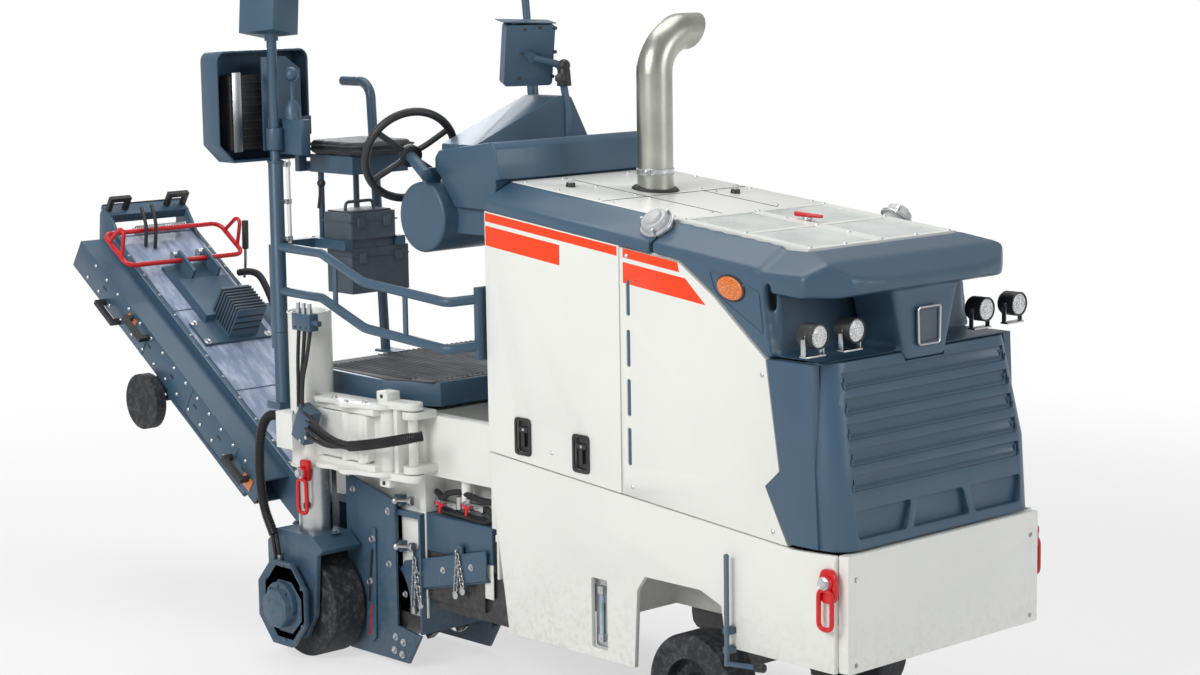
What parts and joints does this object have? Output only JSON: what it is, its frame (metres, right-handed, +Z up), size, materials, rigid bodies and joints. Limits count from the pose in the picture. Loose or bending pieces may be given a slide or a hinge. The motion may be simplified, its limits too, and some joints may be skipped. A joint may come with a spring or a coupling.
{
  "type": "compact cold planer",
  "caption": "Compact cold planer on solid-tyred wheels with a swing-out rear leg, side milling drum and rear loading conveyor.",
  "frame": {"origin": "middle of the footprint box, on the ground", "axes": "+X forward, +Y to the machine's left, +Z up"},
  "size_m": [4.76, 1.466, 2.922],
  "materials": {
    "white_paint": "satin warm white coat",
    "slate_paint": "satin blue-grey coat",
    "black_paint": "semi-matt black coat",
    "red_paint": "gloss signal red coat",
    "bare_steel": "drawn and ground steel",
    "engine_iron": "dark cast iron",
    "tyre_rubber": "solid tyre compound",
    "hose_rubber": "hose and belt rubber",
    "clear_cover": "clear bluish sheet",
    "amber_lens": "amber lens",
    "seat_vinyl": "black vinyl",
    "lamp_body": "black lamp body",
    "case_plastic": "dark moulded plastic"
  },
  "bodies": {
    "root": {"armrest_console": "slate_paint", "ballast_plate": "white_paint", "beacon": "amber_lens", "belly_box": "black_paint", "chassis": "white_paint", "control_cabinet": "slate_paint", "conveyor_hanger": "slate_paint", "dashboard": "slate_paint", "display_unit": "slate_paint", "drum_housing": "slate_paint", "engine_block": "engine_iron", "exhaust_stack": "bare_steel", "front_axle": "black_paint", "front_cowl": "slate_paint", "guard_rails": "slate_paint", "hood_rims": "slate_paint", "hood_top": "white_paint", "left_sleeve": "white_paint", "lifting_eyes": "red_paint", "link_lugs": "white_paint", "mast_left": "slate_paint", "mast_right": "slate_paint", "platform_deck": "slate_paint", "rear_frame": "white_paint", "recess_floor": "slate_paint", "seat_cushion": "seat_vinyl", "seat_frame": "slate_paint", "side_panels": "white_paint", "steering_pod": "slate_paint", "tool_cases": "case_plastic", "visor": "slate_paint", "work_lights": "lamp_body"},
    "front_knuckle_right": {"steer_knuckle_right": "black_paint"},
    "front_knuckle_left": {"steer_knuckle_left": "black_paint"},
    "front_wheel_right": {"front_wheel_right": "tyre_rubber"},
    "front_wheel_left": {"front_wheel_left": "tyre_rubber"},
    "swing_link": {"swing_link": "white_paint"},
    "leg_carrier": {"leg_carrier": "white_paint", "leg_conduit": "hose_rubber", "link_conduit": "hose_rubber"},
    "leg_right": {"leg_column_right": "bare_steel", "wheel_yoke_right": "slate_paint"},
    "rear_wheel_right": {"rear_wheel_right": "tyre_rubber"},
    "leg_left": {"leg_column_left": "bare_steel", "wheel_yoke_left": "slate_paint"},
    "rear_wheel_left": {"rear_wheel_left": "tyre_rubber"},
    "milling_drum": {"milling_drum": "bare_steel"},
    "side_plate_right": {"side_plate_right": "slate_paint"},
    "side_plate_left": {"side_plate_left": "slate_paint"},
    "scraper_blade": {"scraper_blade": "slate_paint"},
    "conveyor_slew": {"slew_bracket": "slate_paint"},
    "conveyor": {"conveyor_frame": "slate_paint", "conveyor_belt": "hose_rubber", "conveyor_cover": "clear_cover", "push_bar": "red_paint", "folding_bracket": "slate_paint", "grab_handles": "black_paint"},
    "transport_wheels": {"transport_wheels": "tyre_rubber"},
    "side_door_right": {"side_door_right": "white_paint"},
    "side_door_left": {"side_door_left": "white_paint"},
    "grille_hatch": {"grille_hatch": "white_paint"},
    "steering_wheel": {"steering_wheel": "case_plastic"}
  },
  "joints": [
    {"name": "steer_right", "type": "hinge", "parent": "root", "child": "front_knuckle_right", "pos_m": [1.58, -0.175, 0.225], "axis": [0, 0, 1], "range_deg": [-25, 25]},
    {"name": "steer_left", "type": "hinge", "parent": "root", "child": "front_knuckle_left", "pos_m": [1.58, 0.425, 0.225], "axis": [0, 0, 1], "range_deg": [-25, 25]},
    {"name": "spin_front_right", "type": "hinge", "parent": "front_knuckle_right", "child": "front_wheel_right", "pos_m": [1.58, -0.29, 0.21], "axis": [0, 1, 0], "continuous": true},
    {"name": "spin_front_left", "type": "hinge", "parent": "front_knuckle_left", "child": "front_wheel_left", "pos_m": [1.58, 0.54, 0.21], "axis": [0, 1, 0], "continuous": true},
    {"name": "link_swing", "type": "hinge", "parent": "root", "child": "swing_link", "pos_m": [0.135, -0.465, 0.96], "axis": [0, 0, 1], "range_deg": [0, 25]},
    {"name": "leg_swing", "type": "hinge", "parent": "swing_link", "child": "leg_carrier", "pos_m": [0.01, -0.487, 0.96], "axis": [0, 0, 1], "range_deg": [0, 70]},
    {"name": "leg_lift_right", "type": "slide", "parent": "leg_carrier", "child": "leg_right", "axis": [0, 0, 1], "range_m": [-0.02, 0.11], "deforming": ["leg_conduit"]},
    {"name": "spin_rear_right", "type": "hinge", "parent": "leg_right", "child": "rear_wheel_right", "pos_m": [-0.455, -0.52, 0.22], "axis": [0, 1, 0], "continuous": true},
    {"name": "leg_lift_left", "type": "slide", "parent": "root", "child": "leg_left", "axis": [0, 0, 1], "range_m": [-0.02, 0.11]},
    {"name": "spin_rear_left", "type": "hinge", "parent": "leg_left", "child": "rear_wheel_left", "pos_m": [-0.19, 0.52, 0.22], "axis": [0, 1, 0], "continuous": true},
    {"name": "drum_spin", "type": "hinge", "parent": "root", "child": "milling_drum", "pos_m": [-0.18, -0.227, 0.262], "axis": [0, 1, 0], "continuous": true},
    {"name": "side_plate_lift_right", "type": "slide", "parent": "root", "child": "side_plate_right", "axis": [0, 0, 1], "range_m": [-0.015, 0.1]},
    {"name": "side_plate_lift_left", "type": "slide", "parent": "root", "child": "side_plate_left", "axis": [0, 0, 1], "range_m": [-0.015, 0.1]},
    {"name": "scraper_lift", "type": "slide", "parent": "root", "child": "scraper_blade", "axis": [0, 0, 1], "range_m": [-0.015, 0.1]},
    {"name": "conveyor_slew", "type": "hinge", "parent": "root", "child": "conveyor_slew", "pos_m": [-0.625, -0.095, 0.25], "axis": [0, 0, 1], "range_deg": [-20, 20]},
    {"name": "conveyor_lift", "type": "hinge", "parent": "conveyor_slew", "child": "conveyor", "pos_m": [-0.625, -0.095, 0.4135], "axis": [0, 1, 0], "range_deg": [-10, 8]},
    {"name": "spin_transport_wheels", "type": "hinge", "parent": "conveyor", "child": "transport_wheels", "pos_m": [-1.75725, -0.095, 0.90943], "axis": [0, 1, 0], "continuous": true},
    {"name": "door_right", "type": "hinge", "parent": "root", "child": "side_door_right", "pos_m": [0.915, -0.415, 1.86728], "axis": [-0.9943, 0, 0.1064], "range_deg": [0, 75]},
    {"name": "door_left", "type": "hinge", "parent": "root", "child": "side_door_left", "pos_m": [0.915, 0.665, 1.86728], "axis": [0.9943, 0, -0.1064], "range_deg": [0, 75]},
    {"name": "hatch", "type": "hinge", "parent": "root", "child": "grille_hatch", "pos_m": [1.45, 0.125, 1.92482], "axis": [0, -1, 0], "range_deg": [0, 70]},
    {"name": "steering_turn", "type": "hinge", "parent": "root", "child": "steering_wheel", "pos_m": [0.002, -0.337, 2.092], "axis": [-0.8864, 0.2998, 0.3528], "continuous": true}
  ],
  "couplings": [
    {"joint": "steer_left", "follows": "steer_right", "ratio": 1}
  ]
}
